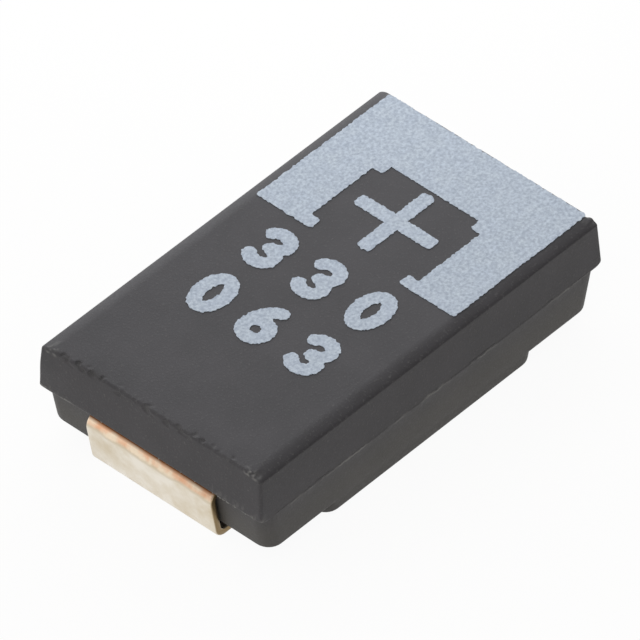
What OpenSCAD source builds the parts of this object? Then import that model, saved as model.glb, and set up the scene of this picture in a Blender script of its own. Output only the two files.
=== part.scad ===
// Surface-mount tantalum capacitor with a conductive polymer cathode, in the
// 7.3 x 4.3 mm case size. Millimetres. +X points to the anode (marked) end,
// +Z is up, and z = 0 is the plane that the two folded terminals stand on.

/* [Case] */
// Length from the outside of one terminal to the outside of the other
overall_l = 7.3; // [6.9:0.05:7.8]
// Width of the case over its parting line
case_w = 4.3; // [3.9:0.05:4.8]
// Height from the seating plane to the top of the case
case_h = 1.8; // [1.7:0.05:2.4]
// Height of the parting line, where the top faces of the terminals leave the case
parting_z = 0.98; // [0.9:0.01:1.1]
// How far each terminal stands out beyond the end of the upper case half
lead_reach_l = 0.03; // [0.02:0.01:0.12]
// How far the upper half overhangs the lower half at each end
end_ledge = 0.08; // [0.06:0.01:0.2]
// Gap between the bottom of the case and the seating plane
standoff = 0.05; // [0.02:0.01:0.08]
// Thickness of the flash line along the two long sides
flash_t = 0.02; // [0.015:0.005:0.05]
// How far the flash line stands proud of the long sides
flash_w = 0.01; // [0.01:0.005:0.04]

/* [Case shape] */
// Draft angle of the upper half's long sides, in degrees
side_draft = 5.5; // [3:0.5:9]
// Draft angle of the upper half's ends, in degrees
end_draft = 5; // [2:0.5:7]
// Draft angle of the lower half's long sides, in degrees
lower_side_draft = 2.5; // [1:0.5:7]
// Draft angle of the lower half's ends, which lean in with the legs, in degrees
lower_end_draft = 10; // [5:0.5:12]
// Width of the shallow chamfer along each long top edge
shoulder_w = 0.165; // [0.08:0.005:0.25]
// Drop of that chamfer at the side
shoulder_drop = 0.045; // [0.02:0.005:0.08]
// Radius of the upright corners of the upper half
upper_corner_r = 0.05; // [0.04:0.01:0.15]
// Radius of the upright corners of the lower half
lower_corner_r = 0.25; // [0.15:0.01:0.35]
// Radius along the bottom edges
bottom_edge_r = 0.07; // [0.05:0.01:0.12]

/* [Terminals] */
// Width of each terminal strip
lead_w = 2.4; // [2:0.05:2.8]
// Thickness of the terminal strip
lead_t = 0.12; // [0.08:0.01:0.14]
// Length of the foot that is soldered to the board
foot_l = 1.25; // [1:0.05:1.6]
// Inside radius of the bends outside the case
bend_r = 0.09; // [0.06:0.01:0.14]
// Inside radius of the step inside the case
step_r = 0.06; // [0.04:0.01:0.1]
// Lean of the upright leg towards the case, in degrees
leg_lean = 10.5; // [4:0.5:12]
// Slope of the step in the cathode strip, in degrees from the flat
step_slope = 68; // [55:1:75]
// Clear space round the foot in its recess
foot_clearance = 0.05; // [0.03:0.01:0.12]
// Clear height between the foot and the roof of its recess
foot_gap = 0.12; // [0.06:0.01:0.16]

/* [Anode] */
// Length of the sintered tantalum block
pellet_l = 4.5; // [3.9:0.05:4.6]
// Width of the block
pellet_w = 3.3; // [2.8:0.05:3.5]
// Height of the block
pellet_h = 0.9; // [0.7:0.02:0.92]
// Corner radius along the block's long edges
pellet_edge_r = 0.08; // [0.03:0.01:0.15]
// Distance from the outside of the cathode terminal to the block
pellet_inset = 0.9; // [0.85:0.01:1]
// Diameter of the tantalum wire
wire_d = 0.3; // [0.24:0.01:0.36]
// How deep the wire sits in the block
wire_depth = 1.2; // [0.6:0.05:2]
// Length of wire that is welded to the anode strip
weld_l = 0.7; // [0.4:0.05:0.8]
// How far the weld flattens the wire
weld_flat = 0.03; // [0.02:0.005:0.05]
// Gap between the block and the inner end of the anode strip
anode_gap = 0.45; // [0.35:0.01:0.55]
// Diameter of the insulating washer round the wire
washer_d = 0.8; // [0.6:0.05:0.85]
// Thickness of the insulating washer
washer_t = 0.15; // [0.1:0.01:0.2]

/* [Cathode coats] */
// Thickness of the conductive polymer coat
polymer_t = 0.03; // [0.02:0.005:0.05]
// Thickness of the graphite coat
graphite_t = 0.015; // [0.01:0.005:0.03]
// Thickness of the silver coat
silver_t = 0.025; // [0.015:0.005:0.04]
// Setback of each coat's edge from the one below it, at the anode end
coat_setback = 0.15; // [0.08:0.01:0.25]
// Thickness of the silver adhesive under the element
adhesive_t = 0.03; // [0.02:0.005:0.05]
// Length of the silver adhesive, and of the cathode pad under it
pad_l = 2.2; // [1.6:0.05:3]

/* [Marking] */
// Thickness of the printed ink
ink_t = 0.01; // [0.005:0.001:0.02]
// Length of the polarity band along the case
band_l = 2.84; // [2.6:0.02:3]
// Width of each of the band's two arms
arm_w = 0.86; // [0.6:0.02:1]
// Width of the solid bar at the end of the band
bar_l = 1.12; // [0.8:0.02:1.3]
// Side of the small squares in the corners of the band's window
window_corner = 0.19; // [0.1:0.01:0.25]
// Bare margin between the band and the edges of the top face
ink_margin = 0.01; // [0.005:0.005:0.05]

/* [Hidden] */

slice = 0.001;          // thickness of the slabs that a tapered block is lofted through
arc_steps = 10;         // straight steps in a bend of the strip
edge_step = 22.5;       // angle between the slabs that round the bottom edges
round_fn = 32;

// Case, measured from its centre
upper_l = overall_l - 2 * lead_reach_l;
lower_l = upper_l - 2 * end_ledge;
body_w = case_w - 2 * flash_w;
recess_z = lead_t + foot_gap;

// Terminal strip, in its side view
strip_mid_r = bend_r + lead_t / 2;
strip_z = parting_z - lead_t / 2;
shoulder_centre = overall_l / 2 - bend_r - lead_t;
shoulder_u = shoulder_centre + strip_mid_r * tan((90 + leg_lean) / 2);
foot_u = shoulder_u - (strip_z - lead_t / 2) * tan(leg_lean);
foot_outer_u = foot_u - strip_mid_r * tan((90 - leg_lean) / 2) + strip_mid_r + lead_t / 2;
foot_end_u = foot_outer_u - foot_l;
recess_wall_u = foot_end_u - foot_clearance;
middle_l = 2 * (recess_wall_u + (parting_z - recess_z) * tan(lower_end_draft));

// Element, lying along X
wire_z = parting_z + wire_d / 2 - weld_flat;
coats_t = polymer_t + graphite_t + silver_t;
pellet_x0 = -overall_l / 2 + pellet_inset;
pellet_x1 = pellet_x0 + pellet_l;
element_bottom = wire_z - pellet_h / 2 - coats_t;
anode_strip_x = pellet_x1 + anode_gap;
wire_x0 = pellet_x1 - wire_depth;
wire_x1 = anode_strip_x + weld_l;
pad_z = element_bottom - adhesive_t - lead_t / 2;
pad_outer_u = -(pellet_x0 - coats_t);
step_run = (strip_z - pad_z) / tan(step_slope);
step_foot_u = pad_outer_u + lead_t / sin(step_slope);
step_top_u = step_foot_u + step_run;
pad_inner_u = pad_outer_u - pad_l;

// Marking on the flat of the top face
top_l = upper_length(case_h);
top_w = upper_width(case_h - shoulder_drop) - 2 * shoulder_w;
band_x1 = top_l / 2 - ink_margin;
band_x0 = band_x1 - band_l;
band_w = top_w - 2 * ink_margin;
window_w = band_w - 2 * arm_w;

// Width of the case at a height, above and below the parting line
function upper_width(z) = body_w - 2 * (z - parting_z) * tan(side_draft);
function lower_width(z) = body_w - 2 * (parting_z - z) * tan(lower_side_draft);
// Length of the upper half at a height
function upper_length(z) = upper_l - 2 * (z - parting_z) * tan(end_draft);

function unit(v) = v / norm(v);
function left_of(v) = [-v.y, v.x];
function turned(v, a) = [v.x * cos(a) - v.y * sin(a), v.x * sin(a) + v.y * cos(a)];

// One edge of a bent strip at the corner b of the path a, b, c. The middle of the
// strip bends at radius r, and the edge lies at distance d to its left.
function bend_edge(a, b, c, r, d) =
    let (u = unit(b - a), v = unit(c - b),
         side = sign(cross(u, v)), angle = acos(u * v),
         start = b - u * r * tan(angle / 2),
         inward = left_of(u) * side,
         centre = start + inward * r)
    [for (i = [0 : arc_steps])
        centre - turned(inward, side * angle * i / arc_steps) * (r - side * d)];

// One whole edge of a strip along a path, with one bend radius per inner corner
function strip_edge(path, radii, d) =
    let (last = len(path) - 1,
         first_dir = unit(path[1] - path[0]),
         last_dir = unit(path[last] - path[last - 1]))
    concat([path[0] + left_of(first_dir) * d],
           [for (i = [1 : last - 1])
               for (p = bend_edge(path[i - 1], path[i], path[i + 1], radii[i - 1], d)) p],
           [path[last] + left_of(last_dir) * d]);

function reversed(list) = [for (i = [len(list) - 1 : -1 : 0]) list[i]];

// Rectangle with true round corners
module round_rect(l, w, r) {
    square([l - 2 * r, w], center = true);
    square([l, w - 2 * r], center = true);
    for (x = [-1, 1], y = [-1, 1])
        translate([x * (l / 2 - r), y * (w / 2 - r)]) circle(r, $fn = round_fn);
}

// Thin slab that a case block is lofted through
module slab(l, w, r, z) {
    translate([0, 0, z]) linear_extrude(slice) round_rect(l, w, r);
}

// Upper half: drafted on all sides, with a shallow shoulder along its long top edges
module upper_half() {
    shoulder_z = case_h - shoulder_drop;
    hull() {
        slab(upper_length(parting_z), upper_width(parting_z), upper_corner_r, parting_z);
        slab(upper_length(shoulder_z), upper_width(shoulder_z), upper_corner_r, shoulder_z);
        slab(top_l, top_w, upper_corner_r, case_h - slice);
    }
}

// Block under the parting line: drafted downwards from length l there to a rounded
// bottom edge at height z0
module lower_block(l, z0) {
    hull() {
        slab(l, body_w, lower_corner_r, parting_z - slice);
        for (a = [0 : edge_step : 90]) {
            z = z0 + bottom_edge_r * (1 - cos(a));
            inset = bottom_edge_r * (1 - sin(a));
            slab(l - 2 * (parting_z - z) * tan(lower_end_draft) - 2 * inset,
                 lower_width(z) - 2 * inset, lower_corner_r - inset, z);
        }
    }
}

// Strip of metal lead_w wide that follows a path in the XZ plane
module bent_strip(path, radii) {
    outline = concat(strip_edge(path, radii, lead_t / 2),
                     reversed(strip_edge(path, radii, -lead_t / 2)));
    translate([0, lead_w / 2, 0]) rotate([90, 0, 0]) linear_extrude(lead_w) polygon(outline);
}

// Everything that the case is moulded round
module insert() {
    cathode_strip();
    anode_strip();
    wire_rod();
    washer_disc();
    element(coats_t, 2 * coat_setback);
    element(polymer_t + graphite_t, coat_setback);
    element(polymer_t, 0);
    adhesive();
}

module moulded_case() {
    color("#4b4b4c") difference() {
        union() {
            upper_half();
            lower_block(lower_l, recess_z);
            lower_block(middle_l, standoff);
            translate([0, 0, parting_z])
                cube([lower_l - 4 * lower_corner_r, case_w, flash_t], center = true);
        }
        insert();
    }
}

// Strip that runs on from its inner part: out under the ledge, down the leg and in
// along the foot
module terminal_strip(inner_points, inner_radii) {
    bent_strip(concat(inner_points,
                      [[shoulder_u, strip_z], [foot_u, lead_t / 2], [foot_end_u, lead_t / 2]]),
               concat(inner_radii, [strip_mid_r, strip_mid_r]));
}

module cathode_strip() {
    step_mid_r = step_r + lead_t / 2;
    mirror([1, 0, 0])
        terminal_strip([[pad_inner_u, pad_z], [step_foot_u, pad_z], [step_top_u, strip_z]],
                            [step_mid_r, step_mid_r]);
}

module anode_strip() {
    terminal_strip([[anode_strip_x, strip_z]], []);
}

module cathode_terminal() {
    color("#d9d2c2") cathode_strip();
}

module anode_terminal() {
    color("#d9d2c2") anode_strip();
}

// Body of the element, grown by a coat on its five coated faces. The coat ends
// at a setback from the anode face.
module element(grow, setback) {
    translate([pellet_x0 - grow, 0, wire_z]) rotate([90, 0, 90])
        linear_extrude(pellet_l + grow - setback)
            round_rect(pellet_w + 2 * grow, pellet_h + 2 * grow, pellet_edge_r + grow);
}

module wire_rod() {
    translate([wire_x0, 0, wire_z]) rotate([0, 90, 0])
        cylinder(d = wire_d, h = wire_x1 - wire_x0, $fn = round_fn);
}

// Tantalum wire, flattened where it is welded to the anode strip
module wire() {
    difference() {
        wire_rod();
        translate([anode_strip_x, -wire_d, parting_z - wire_d])
            cube([weld_l + wire_d, 2 * wire_d, wire_d]);
    }
}

module washer_disc() {
    translate([pellet_x1, 0, wire_z]) rotate([0, 90, 0])
        cylinder(d = washer_d, h = washer_t, $fn = round_fn);
}

module adhesive() {
    translate([-pad_outer_u, -lead_w / 2, element_bottom - adhesive_t])
        cube([pad_l, lead_w, adhesive_t]);
}

module anode_pellet() {
    color("#55565a") difference() {
        element(0, 0);
        wire_rod();
    }
}

module anode_wire() {
    color("#8a8d92") wire();
}

module insulating_washer() {
    color("#eeeeea") difference() {
        washer_disc();
        wire_rod();
    }
}

module polymer_coat() {
    color("#23262e") difference() {
        element(polymer_t, 0);
        element(0, -polymer_t);
    }
}

module graphite_coat() {
    color("#303030") difference() {
        element(polymer_t + graphite_t, coat_setback);
        element(polymer_t, 0);
    }
}

module silver_coat() {
    color("#b9b9b6") difference() {
        element(coats_t, 2 * coat_setback);
        element(polymer_t + graphite_t, coat_setback);
    }
}

module silver_adhesive() {
    color("#a9a9a4") adhesive();
}

// Printed band that marks the anode end: a bar with two arms round a window
module polarity_band() {
    window_l = band_l - bar_l;
    inner_w = window_w - 2 * window_corner;
    color("#b4bfc9") translate([band_x0, 0, case_h]) linear_extrude(ink_t) difference() {
        translate([0, -band_w / 2]) square([band_l, band_w]);
        // The window, open towards the middle of the case, with a square in each corner
        translate([window_corner, -window_w / 2])
            square([window_l - 2 * window_corner, window_w]);
        translate([-window_l, -inner_w / 2]) square([2 * window_l, inner_w]);
    }
}

moulded_case();
cathode_terminal();
anode_terminal();
anode_pellet();
anode_wire();
insulating_washer();
polymer_coat();
graphite_coat();
silver_coat();
silver_adhesive();
polarity_band();
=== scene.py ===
# %% [markdown]
# # A moulded chip capacitor
# This is a surface-mount tantalum capacitor: a block of dark moulding compound 7 mm long, with
# a folded metal terminal under each end and a pale polarity band printed on its top. The
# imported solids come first. They hold every size and place, so each piece made here reads its
# place from them and is built in the same frame, in metres, with nothing fitted later.

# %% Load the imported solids
import math
import bmesh
import bpy
import numpy as np
from mathutils import Matrix, Vector, noise


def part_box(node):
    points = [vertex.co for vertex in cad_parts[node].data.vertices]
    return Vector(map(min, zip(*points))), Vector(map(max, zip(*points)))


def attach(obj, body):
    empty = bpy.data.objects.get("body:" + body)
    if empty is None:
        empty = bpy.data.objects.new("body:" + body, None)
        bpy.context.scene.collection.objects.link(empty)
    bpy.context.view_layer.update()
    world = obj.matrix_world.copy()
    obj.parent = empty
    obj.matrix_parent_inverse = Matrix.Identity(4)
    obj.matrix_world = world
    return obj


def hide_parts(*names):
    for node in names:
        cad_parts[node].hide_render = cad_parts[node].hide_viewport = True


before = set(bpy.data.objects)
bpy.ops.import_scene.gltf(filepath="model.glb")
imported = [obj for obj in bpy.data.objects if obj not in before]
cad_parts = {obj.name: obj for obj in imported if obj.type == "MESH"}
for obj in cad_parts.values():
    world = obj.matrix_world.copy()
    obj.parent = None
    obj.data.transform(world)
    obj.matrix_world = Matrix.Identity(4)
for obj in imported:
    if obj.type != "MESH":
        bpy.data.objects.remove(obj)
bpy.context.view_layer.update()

print("solids:", ", ".join(sorted(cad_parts)))

# %% [markdown]
# ## Sizes
# The shapes are drawn in millimetres and turned to metres as each mesh is made. What the
# solids can tell is read from their boxes: the parting line, for one, is where the top of a
# terminal leaves the case. The rest are the moulder's own small sizes.

# %% Sizes in millimetres
MM = 0.001
ROOT = "root"


def box_mm(node):
    """Lowest and highest corner of a solid, in millimetres."""
    low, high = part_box(node)
    return low / MM, high / MM


case_low, case_high = box_mm("moulded_case")
strip_high = box_mm("cathode_terminal")[1]
band_low, band_high = box_mm("polarity_band")

CASE_TOP = case_high.z
CASE_BOTTOM = case_low.z
PARTING = strip_high.z  # height of the parting line
UPPER_LENGTH = 2 * case_high.x  # upper half, at the parting line
END_LEDGE = 0.08  # the lower half is this much shorter at each end
LOWER_LENGTH = UPPER_LENGTH - 2 * END_LEDGE
FLASH_REACH = 0.01  # how far the flash stands proud of the long sides
FLASH_RISE = 0.04  # and reaches up and down from the parting line
BODY_WIDTH = 2 * (case_high.y - FLASH_REACH)
SIDE_DRAFT = math.tan(math.radians(4.2))
END_DRAFT = math.tan(math.radians(3.2))
LOWER_SIDE_DRAFT = math.tan(math.radians(2.5))
LOWER_END_DRAFT = math.tan(math.radians(10))
RECESS_ROOF = 0.24  # roof of the recess over each foot
MIDDLE_LENGTH = 4.75  # block between the two recesses, at the parting line
INK = band_high.z - band_low.z
INK_MARGIN = 0.01  # bare edge between the band and the shoulders
FLAT_HALF_WIDTH = band_high.y + INK_MARGIN
print(f"case {UPPER_LENGTH:.2f} x {2 * case_high.y:.2f} mm, parting line at {PARTING:.2f} mm")

# %% [markdown]
# ## Colour
# Sockets take linear light, while a colour given as a hex value or from a paint chart is sRGB.
# One function turns the familiar hex value into what a socket needs.

# %% Hex colours to linear light
def linear(hex_colour):
    """Linear RGBA of an sRGB value such as #404041."""
    parts = [int(hex_colour[i:i + 2], 16) / 255 for i in (1, 3, 5)]
    return [c / 12.92 if c <= 0.04045 else ((c + 0.055) / 1.055) ** 2.4 for c in parts] + [1.0]


print("mid grey, #808080, is", round(linear("#808080")[0], 3))

# %% [markdown]
# ## Nodes from code
# A material is a small graph. Writing each node as one call, with its settings and what feeds
# it, keeps the graph readable from pattern to surface, and one helper does for every kind of
# node. Others link an object to the scene, and make real what its modifiers show.

# %% Helpers for nodes and objects
def add(tree, kind, inputs=None, **settings):
    """Add a node. Each input is a value, a hex colour, an output, or a node, whose first
    output in use is taken."""
    node = tree.nodes.new(kind)
    for name, value in settings.items():
        setattr(node, name, value)
    for name, value in (inputs or {}).items():
        if isinstance(value, str):
            value = linear(value)
        elif isinstance(value, bpy.types.Node):
            value = next(socket for socket in value.outputs if socket.enabled)
        if isinstance(value, bpy.types.NodeSocket):
            tree.links.new(value, node.inputs[name])
        else:
            node.inputs[name].default_value = value
    return node


def link_new(name, data):
    """A new object at the origin, linked to the scene."""
    thing = bpy.data.objects.new(name, data)
    bpy.context.scene.collection.objects.link(thing)
    return thing


def made_real(thing, name):
    """Replace an object by a plain mesh object of what its modifiers or curves make."""
    graph = bpy.context.evaluated_depsgraph_get()
    mesh = bpy.data.meshes.new_from_object(thing.evaluated_get(graph))
    mesh.name = name
    bpy.data.objects.remove(thing)
    return link_new(name, mesh)


def start_material(name):
    """An empty material, its node tree, and the piece's own coordinates in millimetres."""
    material = bpy.data.materials.new(name)
    material.use_nodes = True
    tree = material.node_tree
    tree.nodes.clear()
    place = add(tree, "ShaderNodeTexCoord")
    scaled = add(tree, "ShaderNodeMapping", {
        "Vector": place.outputs["Object"], "Scale": (1 / MM, 1 / MM, 1 / MM)})
    return material, tree, scaled


def end_material(material, shader):
    """Join the finished shader to the surface."""
    add(material.node_tree, "ShaderNodeOutputMaterial", {"Surface": shader})
    print(material.name, len(material.node_tree.nodes), "nodes")
    return material


# %% [markdown]
# ## Moulding compound
# The case is transfer-moulded epoxy, heavily filled with ground silica and coloured with
# carbon. The mould is spark-eroded, which leaves an even satin skin: dark grey, never glossy,
# with a grain of a few hundredths of a millimetre. Where the skin is knocked off an edge, the
# pale silica shows. The knocks follow an attribute, wear, that the case mesh will carry.

# %% Filled epoxy, as moulded
GRAIN = 0.045  # size of the skin's grain
CLOUD = 0.7  # size of the faint clouds in its tone
# between these heights the tone turns lighter and browner: painted light bounced up from the floor
FLOOR_BOUNCE_FROM = PARTING + 0.1
FLOOR_BOUNCE_TO = PARTING - 0.45
RUB_LENGTH = 0.6  # of the pale rubs along the parting line
RUB_WIDTH = 0.03
RUB_WAVE = 0.12  # how soon the line of rubs wanders
RUB_SWAY = 0.05  # and how far


def parting_scuffs(tree, mm):
    """Mask of thin pale rubs along the parting line, where the flash was knocked off."""
    height = add(tree, "ShaderNodeSeparateXYZ", {"Vector": mm}).outputs["Z"]
    waver = add(tree, "ShaderNodeTexNoise", {"Vector": mm, "Scale": 1 / RUB_WAVE, "Detail": 3.0})
    sway = add(tree, "ShaderNodeMapRange", {
        "Value": waver, "To Min": -RUB_SWAY, "To Max": RUB_SWAY})
    raised = add(tree, "ShaderNodeMath", {0: height, 1: sway}, operation="ADD")
    off = add(tree, "ShaderNodeMath", {0: raised, 1: PARTING}, operation="SUBTRACT")
    gap = add(tree, "ShaderNodeMath", {0: off}, operation="ABSOLUTE")
    line = add(tree, "ShaderNodeMapRange", {
        "Value": gap, "From Max": RUB_WIDTH, "To Min": 1.0, "To Max": 0.0})
    broken = add(tree, "ShaderNodeTexNoise", {
        "Vector": mm, "Scale": 1 / RUB_LENGTH, "Detail": 4.0})
    spells = add(tree, "ShaderNodeMapRange", {
        "Value": broken, "From Min": 0.44, "From Max": 0.6, "To Max": 0.75})
    return add(tree, "ShaderNodeMath", {0: line, 1: spells}, operation="MULTIPLY")


def moulding_compound():
    """Dark grey, bluish above the parting line; below it lighter and browner, painted bounce
    light.
    """
    material, tree, mm = start_material("filled_epoxy_moulded")
    cloud = add(tree, "ShaderNodeTexNoise", {"Vector": mm, "Scale": 1 / CLOUD, "Detail": 5.0})
    upper = add(tree, "ShaderNodeMix", {
        "Factor": cloud, "A": "#2d2b2d", "B": "#423f42"}, data_type="RGBA")
    # lighter, browner tones below the parting line: painted light from the floor
    lower = add(tree, "ShaderNodeMix", {
        "Factor": cloud, "A": "#3c3935", "B": "#4e4b48"}, data_type="RGBA")
    height = add(tree, "ShaderNodeSeparateXYZ", {"Vector": mm}).outputs["Z"]
    half = add(tree, "ShaderNodeMapRange", {
        "Value": height, "From Min": FLOOR_BOUNCE_FROM, "From Max": FLOOR_BOUNCE_TO})
    tone = add(tree, "ShaderNodeMix", {"Factor": half, "A": upper, "B": lower}, data_type="RGBA")
    grain = add(tree, "ShaderNodeTexNoise", {
        "Vector": mm, "Scale": 1 / GRAIN, "Detail": 4.0, "Roughness": 0.6})
    flecks = add(tree, "ShaderNodeMapRange", {
        "Value": grain, "From Min": 0.55, "From Max": 0.75, "To Max": 0.4})
    flecked = add(tree, "ShaderNodeMix", {
        "Factor": flecks, "A": tone, "B": "#6f6e6c"}, data_type="RGBA")
    # the wear attribute also holds a painted highlight on the worn top corners
    wear = add(tree, "ShaderNodeAttribute", attribute_name="wear")
    bare = add(tree, "ShaderNodeMath", {
        0: wear.outputs["Fac"], 1: parting_scuffs(tree, mm)}, operation="MAXIMUM")
    worn = add(tree, "ShaderNodeMix", {
        "Factor": bare, "A": flecked, "B": "#83827e"}, data_type="RGBA")
    rough = add(tree, "ShaderNodeMapRange", {
        "Value": grain, "From Min": 0.3, "From Max": 0.7, "To Min": 0.54, "To Max": 0.68})
    bump = add(tree, "ShaderNodeBump", {"Height": grain, "Strength": 0.7, "Distance": 0.006 * MM})
    epoxy = add(tree, "ShaderNodeBsdfPrincipled", {
        "Base Color": worn, "Roughness": rough, "IOR": 1.52, "Normal": bump})
    return end_material(material, epoxy)


EPOXY = moulding_compound()

# %% [markdown]
# ## Lofted blocks
# A moulded block is a stack of rounded rectangles, which the draft makes a little smaller
# towards the top or the bottom of the mould. Joining ring to ring gives a clean skin of quads
# with points where they are needed, which a bevelled cube could not: few along the sides, and
# many across the ends, whose edges are chipped.

# %% Rings and lofts
RING_CORNER = 8  # steps round a corner
RING_END = 170  # across an end
RING_SIDE = 90  # along a side


def ring(length, width, radius, z):
    """Points round a rectangle with round corners, counter-clockwise seen from above."""
    turns = []
    for index, (sx, sy) in enumerate([(1, -1), (1, 1), (-1, 1), (-1, -1)]):
        cx, cy = sx * (length / 2 - radius), sy * (width / 2 - radius)
        angles = [math.radians(90 * (index - 1 + step / RING_CORNER))
                  for step in range(RING_CORNER + 1)]
        turns.append([(cx + radius * math.cos(a), cy + radius * math.sin(a)) for a in angles])
    points = []
    for turn, next_turn, run in zip(turns, turns[1:] + turns[:1], (RING_END, RING_SIDE) * 2):
        (ax, ay), (bx, by) = turn[-1], next_turn[0]
        points += turn
        for step in range(1, run):
            t = step / run
            points.append((ax + (bx - ax) * t, ay + (by - ay) * t))
    return [(x, y, z) for x, y in points]


def layered_noise(x, y, z, layers, fading=1.0):
    """Noise of about -1 to 1, each layer twice as fine as the one before."""
    return noise.fractal(Vector((x, y, z)), fading, 2.0, layers)


def new_piece(name, points, faces, edges=()):
    """An object at the origin whose mesh is given in millimetres."""
    mesh = bpy.data.meshes.new(name)
    mesh.from_pydata([Vector(p) * MM for p in points], edges, faces)
    mesh.validate()
    return link_new(name, mesh)


def rolled_edge(radius):
    """Rise and inset of the rings that roll a block's lower edge over."""
    for degrees in range(0, 91, 15):
        angle = math.radians(degrees)
        yield radius * (1 - math.cos(angle)), radius * (1 - math.sin(angle))


def loft(name, rings):
    """Close a stack of rings, lowest first, into one skin."""
    points = [point for level in rings for point in level]
    count = len(rings[0])
    faces = [tuple(reversed(range(count)))]
    for low in range(0, len(points) - count, count):
        high = low + count
        faces += [(low + j, low + (j + 1) % count, high + (j + 1) % count, high + j)
                  for j in range(count)]
    faces.append(tuple(range(len(points) - count, len(points))))
    return new_piece(name, points, faces)


print(len(ring(UPPER_LENGTH, BODY_WIDTH, 0.1, PARTING)), "points in each ring")

# %% [markdown]
# ## The upper half
# Above the parting line the case is drafted on all four sides. Along the long top edges runs
# a shallow shoulder that catches the light as a narrow strip. The flat top eases over into it,
# and it rolls over into the side with a small radius. A smooth minimum of the side's line and
# the shoulder's line gives both strips and the roll between them in one formula.

# %% Upper half of the case
SHOULDER_ANGLE = math.radians(17)
SHOULDER_ROLL = 0.11
FLAT_EDGE_R = 0.45  # the flat top eases over into the shoulder
TOP_EDGE_R = 0.045
LEDGE_EDGE_R = 0.05  # lower edge, over the ledge
UPPER_CORNER_R = 0.05
UNDERSIDE_CORNER_R = 0.13
CORNER_GROWTH = 1.5  # a corner's radius grows by this much of an inset
SIDE_FROM, SIDE_TO = PARTING + LEDGE_EDGE_R + 0.04, CASE_TOP - 0.16  # few rings here
ROLL_FROM, ROLL_TO = CASE_TOP - 0.15, CASE_TOP - 0.07  # close rings
CROWD_FROM = 0.064  # from this far below the top, rings crowd upwards
SIDE_RINGS, ROLL_RINGS, TOP_RINGS = 8, 9, 17
CAP_INSETS = (0.015, 0.03, 0.05, 0.08, 0.12)  # rings on the flat, for the chips


def smooth_min(a, b, blend):
    """The smaller of a and b, with a rounded change-over."""
    h = max(blend - abs(a - b), 0.0) / blend
    return min(a, b) - h * h * blend / 4


def upper_half_width(z):
    """Half the width at a height: side, roll, shoulder, and the easing on to the flat."""
    side = BODY_WIDTH / 2 - (z - PARTING) * SIDE_DRAFT
    drop = CASE_TOP - z
    if drop < FLAT_EDGE_R * (1 - math.cos(SHOULDER_ANGLE)):
        shoulder = (FLAT_HALF_WIDTH - FLAT_EDGE_R * math.tan(SHOULDER_ANGLE / 2)
                    + math.sqrt(drop * (2 * FLAT_EDGE_R - drop)))
    else:
        shoulder = FLAT_HALF_WIDTH + drop / math.tan(SHOULDER_ANGLE)
    return smooth_min(side, shoulder, SHOULDER_ROLL)


def upper_half_length(z):
    """Half the length at a height, with its top edge rolled over."""
    rise = max(0.0, z - (CASE_TOP - TOP_EDGE_R)) / TOP_EDGE_R
    roll = TOP_EDGE_R * (1 - math.sqrt(max(0.0, 1 - rise * rise)))
    return UPPER_LENGTH / 2 - (z - PARTING) * END_DRAFT - roll


def upper_half():
    """The upper half, with close rings wherever its skin turns."""
    corner = UPPER_CORNER_R
    rings = [ring(UPPER_LENGTH - 4 * LEDGE_EDGE_R, BODY_WIDTH, UNDERSIDE_CORNER_R, PARTING)]
    for rise, inset in rolled_edge(LEDGE_EDGE_R):
        z = PARTING + rise
        rings.append(ring(2 * (upper_half_length(z) - inset), 2 * upper_half_width(z),
                          corner + CORNER_GROWTH * inset, z))
    heights = [*np.linspace(SIDE_FROM, SIDE_TO, SIDE_RINGS),
               *np.linspace(ROLL_FROM, ROLL_TO, ROLL_RINGS)]
    heights += [CASE_TOP - CROWD_FROM * (1 - t) ** 2 for t in np.linspace(0, 1, TOP_RINGS)]
    for z in heights:
        rings.append(ring(2 * upper_half_length(z), 2 * upper_half_width(z), corner, z))
    for inset in CAP_INSETS:
        rings.append(ring(2 * (upper_half_length(CASE_TOP) - inset),
                          2 * (upper_half_width(CASE_TOP) - inset), corner, CASE_TOP))
    return loft("upper_half", rings)


print(f"top edge {2 * upper_half_length(CASE_TOP):.2f} x {2 * upper_half_width(CASE_TOP):.2f} mm")

# %% [markdown]
# ## The lower half
# Below the parting line the case is shorter, so that the terminals can leave it under a
# ledge. Its corners and bottom edges are well rounded. At each end the bottom is cut away to
# house a foot, which leaves a block in the middle. A thin line of flash, where compound crept
# between the mould halves, runs along both long sides.

# %% Lower half and flash
LOWER_CORNER_R = 0.25
BOTTOM_EDGE_R = 0.07
LEAST_CORNER_R = 0.05
FLOOR_INSETS = (0.06, 0.02)  # rings on the flat bottom
BURIED = 0.02  # how far the lower half reaches into the upper
DEEP = 0.3  # and the middle block into the lower half
SLIMMER = 0.004  # the middle block is narrower, so that no faces coincide
FLASH_CORNER_R = 0.01
RIDGE = ((-1.0, 1.2), (-0.1, 0.7), (0.1, 0.7), (1.0, 1.2))  # shares: rise, inset
TEARS_X, TEARS_Y = 2.3, 5  # how often the flash is torn, per millimetre
TEAR_DEPTH = 0.3  # as a share of its reach


def lower_block(name, length, floor_z, top_z, slimmer=0.0):
    """Block drafted down from the parting line, where it has this length, to floor_z."""
    def level(z, inset):
        """The ring at height z, drawn in by the inset."""
        return ring(length - 2 * (PARTING - z) * LOWER_END_DRAFT - 2 * inset,
                    BODY_WIDTH - slimmer - 2 * (PARTING - z) * LOWER_SIDE_DRAFT - 2 * inset,
                    max(LOWER_CORNER_R - inset, LEAST_CORNER_R), z)

    rings = [level(floor_z, BOTTOM_EDGE_R + inset) for inset in FLOOR_INSETS]
    rings += [level(floor_z + rise, inset) for rise, inset in rolled_edge(BOTTOM_EDGE_R)]
    for t in (0.25, 0.5, 0.75, 1.0):
        z = floor_z + BOTTOM_EDGE_R + (top_z - floor_z - BOTTOM_EDGE_R) * t
        rings.append(level(z, 0.0))
    return loft(name, rings)


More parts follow.
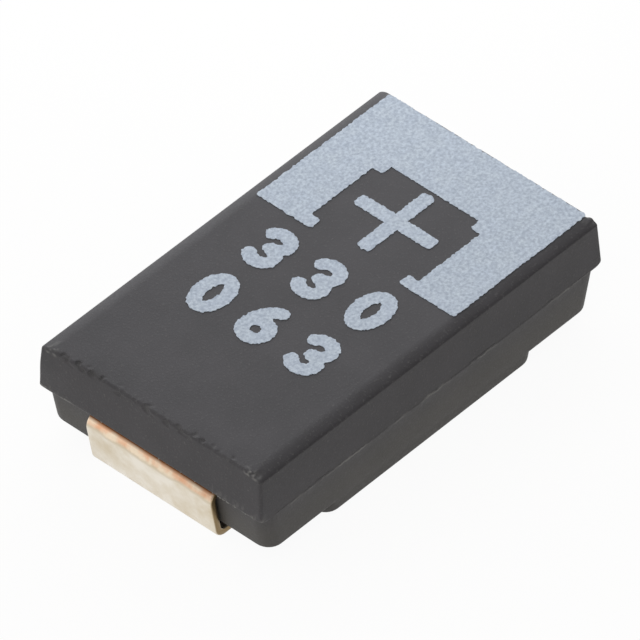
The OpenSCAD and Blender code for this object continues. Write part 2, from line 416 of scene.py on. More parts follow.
def flash_line():
    """Low ridge along the parting line, worn away unevenly on its long edges."""
    length = LOWER_LENGTH - 4 * LOWER_CORNER_R
    rings = []
    for rise, drop in RIDGE:
        level = []
        height = PARTING + rise * FLASH_RISE
        for x, y, z in ring(length, 2 * case_high.y, FLASH_CORNER_R, height):
            tear = 0.5 + 0.5 * layered_noise(x * TEARS_X, y * TEARS_Y, 0, 4)
            pull = FLASH_REACH * (drop + TEAR_DEPTH * min(max(tear, 0.0), 1.0))
            level.append((x, y - math.copysign(pull, y), z))
        rings.append(level)
    return loft("flash_line", rings)


print(f"lower half {LOWER_LENGTH:.2f} mm long at the parting line")

# %% [markdown]
# ## One case
# The blocks overlap, so a Boolean union makes them the single solid that they are on the real
# part. The exact solver keeps the quads where nothing is cut. Each block reaches into its
# neighbour a little, because faces that only touch would leave a seam.

# %% Union of the blocks
def union(name, blocks):
    """Join overlapping blocks to one closed mesh on a new object."""
    first = blocks[0]
    for other in blocks[1:]:
        cut = first.modifiers.new(other.name, "BOOLEAN")
        cut.operation = "UNION"
        cut.solver = "EXACT"
        cut.object = other
    joined = made_real(first, name)
    for block in blocks[1:]:
        bpy.data.objects.remove(block)
    return joined


case = union("case", [
    upper_half(),
    lower_block("lower_half", LOWER_LENGTH, RECESS_ROOF, PARTING + BURIED),
    lower_block("middle_block", MIDDLE_LENGTH, CASE_BOTTOM, RECESS_ROOF + DEEP, SLIMMER),
    flash_line(),
])
print("case:", len(case.data.polygons), "faces after the union")

# %% [markdown]
# ## Finishing a piece
# Every piece ends alike. Its faces are shaded smooth, with a crease at each real edge. It
# takes its material. Then it is tied to the body it rides on, and the solids that it stands
# for are hidden.

# %% Shading, material and body
def smooth_shading(piece, degrees):
    """Smooth the faces, with a crease above this angle. A cap, with many corners, stays flat."""
    smooth = [len(face.vertices) <= 4 for face in piece.data.polygons]
    piece.data.polygons.foreach_set("use_smooth", smooth)
    piece.data.set_sharp_from_angle(angle=math.radians(degrees))


def paint(piece, material):
    """Give a piece this one material."""
    piece.data.materials.clear()
    piece.data.materials.append(material)


def finish(piece, material, slot_name, *stands_for):
    """Paint a piece, attach it to the root body, and hide the solids that it stands for."""
    paint(piece, material)
    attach(piece, ROOT)
    if stands_for:
        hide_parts(*stands_for)
    print(piece.name, len(piece.data.polygons), "faces")


# %% [markdown]
# ## Chipped edges
# The case is brittle, and its top end edges are knocked as it leaves the mould. Moving the
# points near an edge inwards by a noise gives small chips in the real outline, which a bump
# could only shade. The wear attribute keeps how far each point moved, so that pale silica
# shows where material is gone. Rubs write to that attribute too, and move nothing, and so
# does a painted highlight on the worn top corners. One top corner of the cathode end came
# out of the mould a little swollen.

# %% Chip the end edges and store the wear
CHIP_REACH = 0.13  # how far from the edge a chip can spread
CHIP_PITCH = 0.12  # size of one chip
CHIP_DEPTH = {-1.0: 0.05, 1.0: 0.03}  # deepest, at the cathode and the anode end
CHIP_FALL = 0.8  # how far down for each step inwards
CHIP_LEAST = 0.12  # weaker noise makes no chip
CHIP_STEEP = 2.4
SPELLS, SPELL_SHARE = 1.7, 0.4  # stretches with more chips, per millimetre
WORN_PITCH, WORN_SHARE = 0.3, 0.3  # shallow wear all along the edge
WEAR_PER_MM, MOST_WEAR = 5, 0.25  # how pale a chip is
SPOTS = 22  # pale spots per millimetre, in the rubs and on the corners
CORNER_SHEEN_AND_WEAR_REACH, CORNER_SHEEN_AND_WEAR = 0.2, 1.6  # reach of the pale spots at the top corners, painted highlight and wear, and how pale
LEDGE_RUB, LEDGE_WEAR = 0.12, 2.2  # the same at the lower edge of the cathode end
LEDGE_RUB_NEAR = (1.0, 1.4)  # from none to full, to either side
LEDGE_RUB_FAR = (1.6, 2.0)
TOP_EDGE_X = upper_half_length(CASE_TOP - TOP_EDGE_R)
CORNER_SWELL = 0.04  # most that the swollen corner stands out
SWELL_X = (TOP_EDGE_X - 0.3, TOP_EDGE_X)  # from none to full
SWELL_Y = (1.1, 2.0)
SWELL_LOW, SWELL_HIGH = 1.0, 1.5  # it droops below, and stands out above


def chip_depth(x, y, z, end):
    """Depth of the chip at a place near an end edge. end, -1 or 1, also shifts the noise."""
    wide = layered_noise(y * SPELLS, 11 * end, 3.0, 2)
    pit = noise.noise(Vector((x, y, z)) / CHIP_PITCH)
    chipped = CHIP_STEEP * (pit + SPELL_SHARE * wide - CHIP_LEAST)
    worn = WORN_SHARE * abs(layered_noise(y / WORN_PITCH, 3 * end, 1.0, 3))
    return CHIP_DEPTH[end] * min(max(chipped, worn), 1.0)


def smooth_step(start, stop, value):
    """0 before start, 1 beyond stop, and a smooth slope between."""
    t = min(max((value - start) / (stop - start), 0.0), 1.0)
    return t * t * (3 - 2 * t)


def swell_corner(vertex, x, y, z):
    """Let the far top corner of the cathode end stand out above and droop below."""
    amount = CORNER_SWELL * MM * smooth_step(*SWELL_Y, y) * smooth_step(*SWELL_X, -x)
    vertex.co.x -= amount * smooth_step(SWELL_LOW, SWELL_HIGH, z)
    if z >= PARTING:
        vertex.co.z -= amount * smooth_step(SWELL_HIGH, SWELL_LOW, z)


def rubs_and_corner_sheen(x, y, z):
    """Painted highlight and wear at the top corners, and rubs on the cathode end's lower edge."""
    spot = max(0.0, noise.noise(Vector((x, y, z)) * SPOTS))
    # the top corners: a painted highlight, together with wear
    if z > CASE_TOP - CORNER_SHEEN_AND_WEAR_REACH / 2:
        away = math.hypot(abs(x) - TOP_EDGE_X, abs(y) - FLAT_HALF_WIDTH)
        return CORNER_SHEEN_AND_WEAR * max(0.0, 1 - away / CORNER_SHEEN_AND_WEAR_REACH) * spot
    away = math.hypot(-x - UPPER_LENGTH / 2, z - PARTING)
    if away < LEDGE_RUB and z >= PARTING:
        rubbed = smooth_step(*LEDGE_RUB_NEAR, -y) + smooth_step(*LEDGE_RUB_FAR, y)
        return LEDGE_WEAR * rubbed * spot * (1 - away / LEDGE_RUB)
    return 0.0


def chip_edges(piece):
    """Move the points of the end edges, and write the wear attribute."""
    wear = piece.data.attributes.new("wear", "FLOAT", "POINT").data
    for vertex, worn in zip(piece.data.vertices, wear):
        x, y, z = vertex.co / MM
        end = math.copysign(1.0, x)
        away = math.hypot(abs(x) - TOP_EDGE_X, z - CASE_TOP)
        if away < CHIP_REACH and z > PARTING:
            depth = chip_depth(x, y, z, end) * smooth_step(CHIP_REACH, 0.0, away)
            vertex.co += Vector((-end, 0, -CHIP_FALL)) * depth * MM
            worn.value = min(MOST_WEAR, WEAR_PER_MM * depth)
        swell_corner(vertex, x, y, z)
        worn.value += rubs_and_corner_sheen(x, y, z)


chip_edges(case)
smooth_shading(case, 35)
finish(case, EPOXY, "moulded_case", "moulded_case")
worn_points = sum(point.value > 0 for point in case.data.attributes["wear"].data)
print(worn_points, "of", len(case.data.vertices), "points worn")

# %% [markdown]
# ## Tinned copper strip
# The terminals are punched from copper alloy strip that was tin-plated first. So the faces
# are warm, soft silver, while the sheared sides show bare copper. The plating also thins
# where the strip is bent hardest, just under the ledge, and lets the copper glow through.
# Height alone tells where that bend is, so the mask reads Z.

# %% Plated strip, formed
BEND_END = PARTING - 0.158  # the bend ends here, seen from below
CREASE_SHADE_FROM, CREASE_SHADE_TO = BEND_END + 0.01, BEND_END + 0.05  # painted shade of a crease sets in
COPPER_FROM, COPPER_TO = BEND_END + 0.04, BEND_END + 0.1  # then copper shows
LEDGE_SHADE = PARTING - 0.075  # above this the strip is painted dark: painted shade under the mould's edge
SHADE_FROM, SHADE_TO = LEDGE_SHADE - 0.012, LEDGE_SHADE + 0.03
BLOTCH = 0.25  # size of the blotches
BLOTCH_SHIFT = 0.12  # how far they shift those heights
STAIN = 0.5  # size of the stains and shallow dents
ROLLING = 0.05  # size of the rolling marks


def tinned_strip():
    """Stained tin, copper where bent and sheared, painted copper highlights and painted shade."""
    material, tree, mm = start_material("tinned_copper_strip")
    axes = add(tree, "ShaderNodeSeparateXYZ", {"Vector": mm})
    blotch = add(tree, "ShaderNodeTexNoise", {"Vector": mm, "Scale": 1 / BLOTCH, "Detail": 4.0})
    edge = add(tree, "ShaderNodeMath", {0: blotch, 1: BLOTCH_SHIFT}, operation="MULTIPLY")
    height = add(tree, "ShaderNodeMath", {0: axes.outputs["Z"], 1: edge}, operation="ADD")
    bend = add(tree, "ShaderNodeMapRange", {
        "Value": height, "From Min": COPPER_FROM, "From Max": COPPER_TO},
        interpolation_type="SMOOTHSTEP")
    facing = add(tree, "ShaderNodeNewGeometry")
    normal = add(tree, "ShaderNodeSeparateXYZ", {"Vector": facing.outputs["Normal"]})
    sideways = add(tree, "ShaderNodeMath", {0: normal.outputs["Y"]}, operation="ABSOLUTE")
    sheared = add(tree, "ShaderNodeMapRange", {
        "Value": sideways, "From Min": 0.55, "From Max": 0.95})
    stain = add(tree, "ShaderNodeTexNoise", {
        "Vector": mm, "Scale": 1 / STAIN, "Detail": 5.0, "Roughness": 0.6})
    patches = add(tree, "ShaderNodeMapRange", {"Value": stain, "From Min": 0.35, "From Max": 0.65})
    # pale cream patches in the copper: painted highlights
    painted_highlights = add(tree, "ShaderNodeMapRange", {
        "Value": blotch, "From Min": 0.38, "From Max": 0.58})
    copper = add(tree, "ShaderNodeMix", {
        "Factor": painted_highlights, "A": "#ecb894", "B": "#f3e0c6"}, data_type="RGBA")
    # dark brown at the top of the strip: painted shade under the ledge
    under_ledge_shade = add(tree, "ShaderNodeMapRange", {
        "Value": axes.outputs["Z"], "From Min": SHADE_FROM, "From Max": SHADE_TO})
    warm = add(tree, "ShaderNodeMix", {
        "Factor": under_ledge_shade, "A": copper, "B": "#6e4527"}, data_type="RGBA")
    # darker tone where the bend ends: painted shade in the crease
    crease_shade = add(tree, "ShaderNodeMapRange", {
        "Value": height, "From Min": CREASE_SHADE_FROM, "From Max": CREASE_SHADE_TO, "To Max": 0.55})
    tin = add(tree, "ShaderNodeMix", {
        "Factor": patches, "A": "#d3c5ab", "B": "#ece5d8"}, data_type="RGBA")
    crease_shaded = add(tree, "ShaderNodeMix", {
        "Factor": crease_shade, "A": tin, "B": "#c3b294"}, data_type="RGBA")
    glow = add(tree, "ShaderNodeMix", {"Factor": bend, "A": crease_shaded, "B": warm}, data_type="RGBA")
    colour = add(tree, "ShaderNodeMix", {
        "Factor": sheared, "A": glow, "B": "#86714f"}, data_type="RGBA")
    rolling = add(tree, "ShaderNodeTexNoise", {"Vector": mm, "Scale": 1 / ROLLING, "Detail": 3.0})
    rough = add(tree, "ShaderNodeMapRange", {"Value": blotch, "To Min": 0.28, "To Max": 0.42})
    dents = add(tree, "ShaderNodeBump", {"Height": stain, "Strength": 0.6, "Distance": 0.02 * MM})
    bump = add(tree, "ShaderNodeBump", {
        "Height": rolling, "Strength": 0.3, "Distance": 0.003 * MM, "Normal": dents})
    metal = add(tree, "ShaderNodeBsdfPrincipled", {
        "Base Color": colour, "Metallic": 1.0, "Roughness": rough, "Normal": bump})
    return end_material(material, metal)


STRIP = tinned_strip()

# %% [markdown]
# ## Formed terminals
# The solids already hold the bent strip, but with knife-sharp sides. A copy is merged, and
# only the two sheared outlines are bevelled: a bevel by angle would also break up the bends.

# %% Terminals with broken edges
SHEAR_RADIUS = 0.03
SAME_POINT = 0.0005  # points this close are merged
SAME_SIDE = 0.002  # points this close to a side lie on it
STRAIGHT = math.radians(0.5)
CREASE = math.radians(45)


def formed_terminal(name, node):
    """A copy of the bent strip with its two sheared outlines broken."""
    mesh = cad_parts[node].data.copy()
    mesh.name = name
    half_width = box_mm(node)[1].y * MM
    shape = bmesh.new()
    shape.from_mesh(mesh)
    bmesh.ops.remove_doubles(shape, verts=shape.verts, dist=SAME_POINT * MM)
    bmesh.ops.dissolve_limit(shape, angle_limit=STRAIGHT, verts=shape.verts, edges=shape.edges)
    outline = [e for e in shape.edges
               if all(abs(abs(v.co.y) - half_width) < SAME_SIDE * MM for v in e.verts)
               and e.verts[0].co.y * e.verts[1].co.y > 0
               and e.calc_face_angle(0.0) > CREASE]
    bmesh.ops.bevel(shape, geom=outline, offset=SHEAR_RADIUS * MM, segments=3, profile=0.5,
                    affect="EDGES", clamp_overlap=True)
    shape.to_mesh(mesh)
    shape.free()
    piece = link_new(name, mesh)
    smooth_shading(piece, 40)
    finish(piece, STRIP, node, node)


formed_terminal("cathode_strip", "cathode_terminal")
formed_terminal("anode_strip", "anode_terminal")

# %% [markdown]
# ## Printed ink
# The marking is a thin pale ink, sprayed through a raster: chalky, blue-grey, and peppered
# with finer and darker dots where the case shows through.

# %% Pale marking ink
INK_DOT = 0.05  # size of its dots
INK_CLOUD = 0.3  # and of the changes in its tone


def marking_ink():
    """Chalky paint, with dots where the case shows through."""
    material, tree, mm = start_material("marking_ink")
    dots = add(tree, "ShaderNodeTexNoise", {
        "Vector": mm, "Scale": 1 / INK_DOT, "Detail": 2.0, "Roughness": 0.7})
    dark = add(tree, "ShaderNodeMapRange", {"Value": dots, "From Min": 0.32, "From Max": 0.68})
    cloud = add(tree, "ShaderNodeTexNoise", {"Vector": mm, "Scale": 1 / INK_CLOUD, "Detail": 4.0})
    pale = add(tree, "ShaderNodeMix", {
        "Factor": cloud, "A": "#c5d0e0", "B": "#ced7dd"}, data_type="RGBA")
    colour = add(tree, "ShaderNodeMix", {
        "Factor": dark, "A": pale, "B": "#a5afbd"}, data_type="RGBA")
    bump = add(tree, "ShaderNodeBump", {"Height": dots, "Strength": 0.5, "Distance": 0.004 * MM})
    ink = add(tree, "ShaderNodeBsdfPrincipled", {
        "Base Color": colour, "Roughness": 0.75, "IOR": 1.45, "Normal": bump})
    return end_material(material, ink)


INK_PAINT = marking_ink()

# %% [markdown]
# ## The marking as a distance field
# A print has slightly ragged edges. Instead of drawing outlines and roughening them, a
# function gives the distance from any place on the top face to the nearest edge of the print,
# negative inside. Shapes join by taking the smaller distance, a little noise roughens all
# edges alike, and the outline is simply where the distance is zero.

# %% Distances to bars and strokes
FAR_AWAY = 1e9
TINY = 1e-12  # avoids dividing by nothing


def to_bar(x, y, low, high, rounding=0.03):
    """Distance to a rectangle with these corners, each rounded a little."""
    dx = np.abs(x - (low[0] + high[0]) / 2) - (high[0] - low[0]) / 2 + rounding
    dy = np.abs(y - (low[1] + high[1]) / 2) - (high[1] - low[1]) / 2 + rounding
    outside = np.hypot(np.maximum(dx, 0), np.maximum(dy, 0))
    return outside + np.minimum(np.maximum(dx, dy), 0) - rounding


def to_stroke(x, y, path, width):
    """Distance to a pen stroke of this width along a path of points."""
    nearest = np.full(x.shape, FAR_AWAY)
    for (ax, ay), (bx, by) in zip(path[:-1], path[1:]):
        length2 = (bx - ax) ** 2 + (by - ay) ** 2 + TINY
        t = np.clip(((x - ax) * (bx - ax) + (y - ay) * (by - ay)) / length2, 0, 1)
        nearest = np.minimum(nearest, np.hypot(x - ax - t * (bx - ax), y - ay - t * (by - ay)))
    return nearest - width / 2


print("middle of a 2 x 1 mm bar:", to_bar(0, 0, (-1, -0.5), (1, 0.5)))

# %% [markdown]
# ## Band and plus sign
# The band marks the anode end: a wide bar with two arms round a window, and small squares in
# the corners of the window. The plus sign stands in the window.

# %% Band and plus
ARM_WIDTH = 0.86
BAR_LENGTH = 1.12
WINDOW_CORNER = 0.19
SQUARE_ROUND = 0.06
INTO_ARM, INTO_BAR = 0.05, 0.03  # the squares reach this far into what they touch
PLUS_X = 1.61
PLUS_Y = 0.025
PLUS_REACH = 0.735
PLUS_STROKE = 0.24
PLUS_ROUND = 0.07


def band_distance(x, y):
    """Distance to the band: a bar, two arms, and the four squares in its window."""
    x0, x1, half = band_low.x, band_high.x, band_high.y
    near = to_bar(x, y, (x1 - BAR_LENGTH, -half), (x1, half))
    for side in (-1, 1):
        ys = sorted((side * half, side * (half - ARM_WIDTH)))
        near = np.minimum(near, to_bar(x, y, (x0, ys[0]), (x1, ys[1])))
        inner = half - ARM_WIDTH
        ys = sorted((side * (inner + INTO_ARM), side * (inner - WINDOW_CORNER)))
        for start in (x0, x1 - BAR_LENGTH - WINDOW_CORNER):
            stop = start + WINDOW_CORNER + INTO_BAR
            square = to_bar(x, y, (start, ys[0]), (stop, ys[1]), SQUARE_ROUND)
            near = np.minimum(near, square)
    return near


def plus_distance(x, y):
    """Distance to the plus sign, two crossed bars."""
    x, y = x - PLUS_X, y - PLUS_Y
    reach, half = PLUS_REACH, PLUS_STROKE / 2
    return np.minimum(to_bar(x, y, (-reach, -half), (reach, half), PLUS_ROUND),
                      to_bar(x, y, (-half, -reach), (half, reach), PLUS_ROUND))


print(f"plus sign {2 * PLUS_REACH:.2f} mm across")

# %% [markdown]
# ## Plain digits
# Two rows of plain digits fill the rest of the top, with their tops towards the anode end.
# Each is one or two pen strokes made of arcs, so a digit is a few numbers, not an outline.

# %% Digits as pen strokes
DIGIT_STROKE = 0.225
DIGIT_HALF_HEIGHT = 0.335  # of the pen's path
DIGIT_HALF_WIDTH = 0.195
LOOP = 0.19  # half the height of the six's loop
TAIL_MIDDLE, TAIL_WIDTH = 0.75, 1.75  # of the six's tail, as shares of the half width
BOWL_SHIFT = -0.02  # of the three's bowls
DIGITS_LOW, DIGITS_HIGH = (-1.8, -1.5), (0.6, 1.5)  # they all lie between these
COLUMNS = (0.97, 0.025, -0.94)
ROWS = ((0.0, "330"), (-1.22, "063"))


def arc(centre, radii, start, stop, steps=22):
    """Points along an ellipse's arc, in degrees, anticlockwise from the right."""
    angles = np.radians(np.linspace(start, stop, steps))
    return [(centre[0] + radii[0] * math.cos(a), centre[1] + radii[1] * math.sin(a))
            for a in angles]


def digit_strokes(digit):
    """Pen paths of a digit, x to its right and y up, about its middle."""
    w, h = DIGIT_HALF_WIDTH, DIGIT_HALF_HEIGHT
    if digit == "0":
        return [arc((0, 0), (w, h), 0, 360, 40)]
    if digit == "3":
        bowl = h / 2
        return [arc((BOWL_SHIFT, bowl), (w, bowl), 150, -90),
                arc((BOWL_SHIFT, -bowl), (w, bowl), 90, -150)]
    if digit == "6":
        tail = arc((w * TAIL_MIDDLE, LOOP - h), (w * TAIL_WIDTH, 2 * h - LOOP), 180, 100)
        return [arc((0, LOOP - h), (w, LOOP), 0, 360, 32), tail]
    raise ValueError(digit)


def digits_distance(x, y):
    """Distance to all the digits."""
    near = np.full(x.shape, FAR_AWAY)
    for row_x, word in ROWS:
        for column_y, digit in zip(COLUMNS, word):
            for path in digit_strokes(digit):
                placed = [(row_x + v, column_y - u) for u, v in path]
                near = np.minimum(near, to_stroke(x, y, placed, DIGIT_STROKE))
    return near


print("digits", ", ".join(word for _, word in ROWS))

# %% [markdown]
# ## From distance to mesh
# Marching squares walks a fine grid and puts a point wherever the distance changes sign
# between two neighbours. Linked up, the points are the print's outlines. A flat 2D curve
# fills them, holes included, and its extrusion gives the ink its real thickness.

# %% Marching squares
PRINT_STEP = 0.012
PRINT_MARGIN = 0.1  # bare grid round the print
RAGGED = 0.02  # how far the noise moves an edge
RAGGED_PITCH = 0.055  # size of its teeth
SHORTEST = 8  # an outline of so few points is left out
TOUCHING = 0.0002  # points this close are merged


def roughen(x, y, distance):
    """Add noise to the distance near the edge, so that the outline comes out ragged."""
    rough = distance.copy()
    for i, j in np.argwhere(np.abs(distance) < 4 * RAGGED):
        u, v = x[i, j] / RAGGED_PITCH, y[i, j] / RAGGED_PITCH
        rough[i, j] += RAGGED * layered_noise(u, v, 0.0, 2, fading=0.9)
    return rough


def outlines(distance_to, low, high):
    """Closed outlines of where a distance is negative, as lists of points."""
    ticks = [np.arange(a, b + PRINT_STEP, PRINT_STEP) for a, b in zip(low, high)]
    x, y = np.meshgrid(*ticks, indexing="ij")
    d = roughen(x, y, distance_to(x, y))

    def crossing(a, b):
        """Where the outline crosses the grid line from a to b."""
        t = d[a] / (d[a] - d[b])
        return (x[a] + (x[b] - x[a]) * t, y[a] + (y[b] - y[a]) * t)

    inside = d < 0
    base = inside[:-1, :-1]
    changed = (base != inside[1:, :-1]) | (base != inside[:-1, 1:]) | (base != inside[1:, 1:])
    follows, points = {}, {}
    for i, j in np.argwhere(changed):
        loop = [(i, j), (i + 1, j), (i + 1, j + 1), (i, j + 1)]
        entries, exits = [], []
        for a, b in zip(loop, loop[1:] + loop[:1]):
            if inside[a] != inside[b]:
                key = (min(a, b), max(a, b))
                points[key] = crossing(a, b)
                (exits if inside[a] else entries).append(key)
        for start, stop in zip(exits, entries):
            follows[start] = stop
    chains = []
    while follows:
        first, here = follows.popitem()
        chain = [points[first]]
        while here != first:
            chain.append(points[here])
            here = follows.pop(here)
        chains.append(chain)
    return [chain for chain in chains if len(chain) > SHORTEST]


def print_piece(name, distance_to, low, high):
    """A thin sheet of ink with the outlines of a distance, lying on the top face."""
    curve = bpy.data.curves.new(name, "CURVE")
    curve.dimensions = "2D"
    curve.fill_mode = "BOTH"
    curve.extrude = INK / 2
    for chain in outlines(distance_to, low, high):
        spline = curve.splines.new("POLY")
        spline.points.add(len(chain) - 1)
        spline.use_cyclic_u = True
        for point, (x, y) in zip(spline.points, chain):
            point.co = (x, y, 0, 1)
    sheet = made_real(link_new(name, curve), name)
    lift = Matrix.Translation((0, 0, (CASE_TOP + INK / 2) * MM))
    sheet.data.transform(lift @ Matrix.Diagonal((MM, MM, MM, 1)))
    shape = bmesh.new()
    shape.from_mesh(sheet.data)
    bmesh.ops.remove_doubles(shape, verts=shape.verts, dist=TOUCHING * MM)
    bmesh.ops.recalc_face_normals(shape, faces=shape.faces)
    shape.to_mesh(sheet.data)
    shape.free()
    return sheet


area_low = (band_low.x - PRINT_MARGIN, band_low.y - PRINT_MARGIN)
area_high = (band_high.x + PRINT_MARGIN, band_high.y + PRINT_MARGIN)
for name, distance_to, low, high, *stands_for in (
        ("printed_band", band_distance, area_low, area_high, "polarity_band"),
        ("printed_plus", plus_distance, area_low, area_high),
        ("printed_digits", digits_distance, DIGITS_LOW, DIGITS_HIGH)):
    finish(print_piece(name, distance_to, low, high), INK_PAINT, "polarity_band", *stands_for)

# %% [markdown]
# ## The pieces inside
# Nobody sees them through the case, but whoever opens the model should find each piece in
# the finish that it has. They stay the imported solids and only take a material.

# %% Finishes of the pieces inside
def plain_finish(name, dark, light, size, roughness, metallic=0.0, bump_height=0.004):
    """A material with a fine mottle of this size, in millimetres."""
    material, tree, mm = start_material(name)
    mottle = add(tree, "ShaderNodeTexNoise", {"Vector": mm, "Scale": 1 / size, "Detail": 4.0})
    colour = add(tree, "ShaderNodeMix", {
        "Factor": mottle, "A": dark, "B": light}, data_type="RGBA")
    bump = add(tree, "ShaderNodeBump", {
        "Height": mottle, "Strength": 0.5, "Distance": bump_height * MM})
    shader = add(tree, "ShaderNodeBsdfPrincipled", {
        "Base Color": colour, "Roughness": roughness, "Metallic": metallic, "Normal": bump})
    return end_material(material, shader)


# material, darkest and lightest tone, mottle size, roughness, metallic, bump height
INSIDE = {
    "anode_pellet": plain_finish("sintered_tantalum", "#4b4c50", "#66676c", 0.02, 0.7, 0.8),
    "anode_wire": plain_finish("drawn_tantalum", "#85888d", "#989ba0", 0.03, 0.35, 1.0, 0.001),
    "insulating_washer": plain_finish("white_fluoropolymer", "#e6e6e0", "#f1f1ec", 0.1, 0.45),
    "polymer_coat": plain_finish("conductive_polymer", "#1c1f29", "#2b2f3c", 0.05, 0.4),
    "graphite_coat": plain_finish("graphite_coat", "#2a2a2b", "#3b3b3c", 0.04, 0.55, 0.3),
    "silver_coat": plain_finish("silver_paint", "#a9a9a6", "#c6c6c2", 0.04, 0.5, 0.7),
    "silver_adhesive": plain_finish("silver_adhesive", "#9b9b96", "#b4b4ae", 0.05, 0.55, 0.6),
}
for node, material in INSIDE.items():
    paint(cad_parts[node], material)

# %% [markdown]
# ## Crumbs of compound
# Tiny crumbs of broken flash cling to the edges. What repeats along a path suits Geometry
# Nodes: points are spread along the edges, most are thrown away at random, and each one left
# takes a small lump turned and scaled by chance. Realize Instances makes them real, because
# an exported file holds no instances.

# %% Crumbs by Geometry Nodes
ANY_TURN = 6.28  # radians
CRUMB_SQUASH = (1.0, 0.75, 0.55)
CRUMB_SIZES = {"Count": 60, "Smallest": 0.008 * MM, "Largest": 0.027 * MM, "Share": 0.22,
               "Seed": 4}
CLEAR_OF_CORNER = 0.1
CRUMB_SINK = 0.003  # into the ledge's rolled edge
CRUMB_LIFT = 0.01
SIDE_SINK = 0.018  # into the long sides


def crumb_tree(material):
    """Geometry Nodes tree that scatters crumbs along the edges of a wire mesh."""
    tree = bpy.data.node_groups.new("crumbs_along_edges", "GeometryNodeTree")
    for name, kind in (("Geometry", "Geometry"), ("Count", "Int"), ("Smallest", "Float"),
                       ("Largest", "Float"), ("Share", "Float"), ("Seed", "Int")):
        tree.interface.new_socket(name, in_out="INPUT", socket_type="NodeSocket" + kind)
    tree.interface.new_socket("Geometry", in_out="OUTPUT", socket_type="NodeSocketGeometry")
    given = add(tree, "NodeGroupInput").outputs
    curve = add(tree, "GeometryNodeMeshToCurve", {"Mesh": given["Geometry"]})
    spread = add(tree, "GeometryNodeResampleCurve", {"Curve": curve, "Count": given["Count"]})
    points = add(tree, "GeometryNodeCurveToPoints", {"Curve": spread, "Count": given["Count"]})
    chance = add(tree, "FunctionNodeRandomValue", {
        "Probability": given["Share"], "Seed": given["Seed"]}, data_type="BOOLEAN")
    size = add(tree, "FunctionNodeRandomValue", {
        "Min": given["Smallest"], "Max": given["Largest"], "Seed": given["Seed"]})
    turn = add(tree, "FunctionNodeRandomValue", {
        "Max": (ANY_TURN, ANY_TURN, ANY_TURN), "Seed": given["Seed"]}, data_type="FLOAT_VECTOR")
    lump = add(tree, "GeometryNodeMeshIcoSphere", {"Subdivisions": 2})
    squash = add(tree, "GeometryNodeTransform", {"Geometry": lump, "Scale": CRUMB_SQUASH})
    placed = add(tree, "GeometryNodeInstanceOnPoints", {
        "Points": points, "Instance": squash, "Selection": chance, "Rotation": turn,
        "Scale": size})
    real = add(tree, "GeometryNodeRealizeInstances", {"Geometry": placed})
    dressed = add(tree, "GeometryNodeSetMaterial", {"Geometry": real, "Material": material})
    add(tree, "NodeGroupOutput", {"Geometry": dressed})
    return tree


def crumbs():
    """Crumbs along both ledges, most at the cathode strip, and along the flash."""
    middle = 1 - math.sqrt(0.5)     # halfway round a rolled edge
    ledge_x = UPPER_LENGTH / 2 - LEDGE_EDGE_R * middle - CRUMB_SINK
    ledge_z = PARTING + LEDGE_EDGE_R * middle + CRUMB_LIFT
    reach = BODY_WIDTH / 2 - CLEAR_OF_CORNER
    side_x = LOWER_LENGTH / 2 - 2 * LOWER_CORNER_R
    side_y = BODY_WIDTH / 2 - SIDE_SINK
    points = [(x, y, ledge_z) for x in (-ledge_x, ledge_x) for y in (-reach, reach)]
    points += [(-ledge_x, y, ledge_z) for y in (-reach, -strip_high.y)]
    points += [(x, y, PARTING) for y in (-side_y, side_y) for x in (-side_x, side_x)]
    edges = [(start, start + 1) for start in range(0, len(points), 2)]
    path = new_piece("crumb_path", points, [], edges)
    tree = crumb_tree(EPOXY)
    modifier = path.modifiers.new("crumbs", "NODES")
    modifier.node_group = tree
    for item in tree.interface.items_tree:
        if item.in_out == "INPUT" and item.name in CRUMB_SIZES:
            modifier[item.identifier] = CRUMB_SIZES[item.name]
    piece = made_real(path, "crumbs")
    wear = piece.data.attributes.new("wear", "FLOAT", "POINT")
    wear.data.foreach_set("value", [1.0] * len(piece.data.vertices))
    smooth_shading(piece, 60)
    return piece


finish(crumbs(), EPOXY, "moulded_case")

# %% [markdown]
# ## Floor
# The part stands on a sheet of white paper. The floor adds its own white for the camera and
# for mirror rays, and keeps a share of real shading, so that the shadow stays. From below it
# is clear, so that the feet can be looked at.

# %% Floor
GLOW_SHARE = 0.94  # how much of what is seen of the floor is its own white
FLOOR_HALF = 150.0
FLOOR_SHIFT = 40  # off centre: a faint line shows below over its diagonal
FLOOR_Z = -0.003  # just under the feet, not touching them


def white_floor():
    """White paper that glows for the camera, and is clear from behind."""
    material, tree, _ = start_material("white_floor")
    paper = add(tree, "ShaderNodeBsdfDiffuse", {"Color": "#f8f6f2"})
    glow = add(tree, "ShaderNodeEmission", {"Color": "#ffffff"})
    ray = add(tree, "ShaderNodeLightPath")
    seen = ray.outputs["Is Camera Ray"]
    for kind in ("Is Glossy Ray", "Is Transmission Ray"):
        seen = add(tree, "ShaderNodeMath", {0: seen, 1: ray.outputs[kind]}, operation="MAXIMUM")
    share = add(tree, "ShaderNodeMath", {0: seen, 1: GLOW_SHARE}, operation="MULTIPLY")
    mixed = add(tree, "ShaderNodeMixShader", {0: share, 1: paper, 2: glow})
    side = add(tree, "ShaderNodeNewGeometry")
    clear = add(tree, "ShaderNodeBsdfTransparent")
    one_way = add(tree, "ShaderNodeMixShader", {0: side.outputs["Backfacing"], 1: mixed, 2: clear})
    return end_material(material, one_way)


corners = [(-1, -1), (1, -1), (1, 1), (-1, 1)]
floor = new_piece("floor", [(FLOOR_HALF * sx, FLOOR_HALF * sy + FLOOR_SHIFT, FLOOR_Z)
                            for sx, sy in corners], [(0, 1, 2, 3)])
paint(floor, white_floor())

# %% [markdown]
# ## Light
# A small matt object shows best in a white tent, brighter behind it than in front, so that
# its far edges shine and its near faces keep their tone. Two square lamps add a sheen on the
# top, from behind, and light on the near faces and the tin.

# %% Light
BACK_WHITE = 1.24  # radiance of the back box, where 1 renders as white
FRONT_WHITE = 1.6


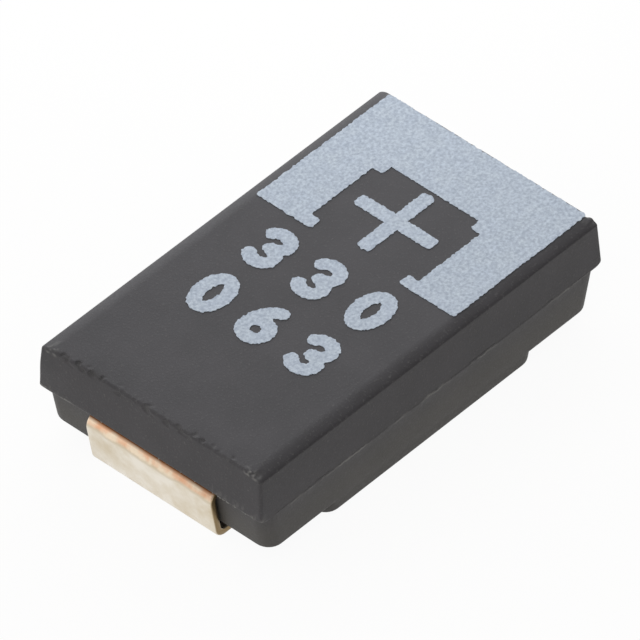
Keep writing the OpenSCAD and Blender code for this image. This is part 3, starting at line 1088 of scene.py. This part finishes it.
def light_tent():
    """White light, brighter behind. The camera sees plain white, as a backdrop."""
    world = bpy.data.worlds.new("light_tent")
    bpy.context.scene.world = world
    world.use_nodes = True
    tree = world.node_tree
    tree.nodes.clear()
    direction = add(tree, "ShaderNodeTexCoord")
    toward = add(tree, "ShaderNodeSeparateXYZ", {"Vector": direction.outputs["Generated"]})
    level = add(tree, "ShaderNodeMapRange", {
        "Value": toward.outputs["Y"], "From Min": -0.4, "From Max": 0.6, "To Min": 0.22,
        "To Max": 1.05})
    seen = add(tree, "ShaderNodeLightPath")
    strength = add(tree, "ShaderNodeMath", {
        0: level, 1: seen.outputs["Is Camera Ray"]}, operation="MAXIMUM")
    wall = add(tree, "ShaderNodeBackground", {"Color": "#ffffff", "Strength": strength})
    add(tree, "ShaderNodeOutputWorld", {"Surface": wall})


def soft_box(name, toward, distance, size, radiance, colour="#ffffff"):
    """A square area lamp in a direction from the part, sizes in millimetres."""
    lamp = bpy.data.lights.new(name, "AREA")
    lamp.size = size * MM
    lamp.energy = radiance * math.pi * lamp.size ** 2
    lamp.color = linear(colour)[:3]
    rig = link_new(name, lamp)
    toward = Vector(toward).normalized()
    rig.location = toward * distance * MM
    rig.rotation_euler = toward.to_track_quat("Z", "Y").to_euler()
    print(name, size, "mm wide,", distance, "mm away")


light_tent()
soft_box("back_box", (0.57, 0.62, 0.5), distance=14, size=15, radiance=BACK_WHITE,
         colour="#f4f8ff")
soft_box("front_box", (-0.6, -0.5, 0.9), distance=60, size=36, radiance=FRONT_WHITE)

# %% [markdown]
# ## Camera
# A long lens far away keeps the edges nearly parallel. The camera looks down at 44 degrees
# over the corner between the cathode end and a long side.

# %% Camera
AZIMUTH = math.radians(-47.849)
ELEVATION = math.radians(43.721)
DISTANCE = 200.0
VIEW_WIDTH = 9.1077273  # width of the view at the part, in millimetres
LOOK_AT = Vector((0, 0, 0.9))  # the middle of the case
LOOK_LEFT, LOOK_UP = 0.023, 0.094  # and off it by this much

camera = bpy.data.cameras.new("camera")
camera.lens = camera.sensor_width * DISTANCE / VIEW_WIDTH
camera.clip_start = 0.01
camera.clip_end = 1.0
view = link_new("camera", camera)
bpy.context.scene.camera = view
level = math.cos(ELEVATION)
back = Vector((math.sin(AZIMUTH) * level, -math.cos(AZIMUTH) * level, math.sin(ELEVATION)))
right = Vector((math.cos(AZIMUTH), math.sin(AZIMUTH), 0.0))
up = back.cross(right)
aim = LOOK_AT - right * LOOK_LEFT + up * LOOK_UP
view.matrix_world = Matrix((right, up, back)).transposed().to_4x4()
view.location = (aim + back * DISTANCE) * MM
bpy.context.scene.view_settings.view_transform = "Standard"
print(f"camera: {camera.lens:.0f} mm lens, {DISTANCE:.0f} mm away")
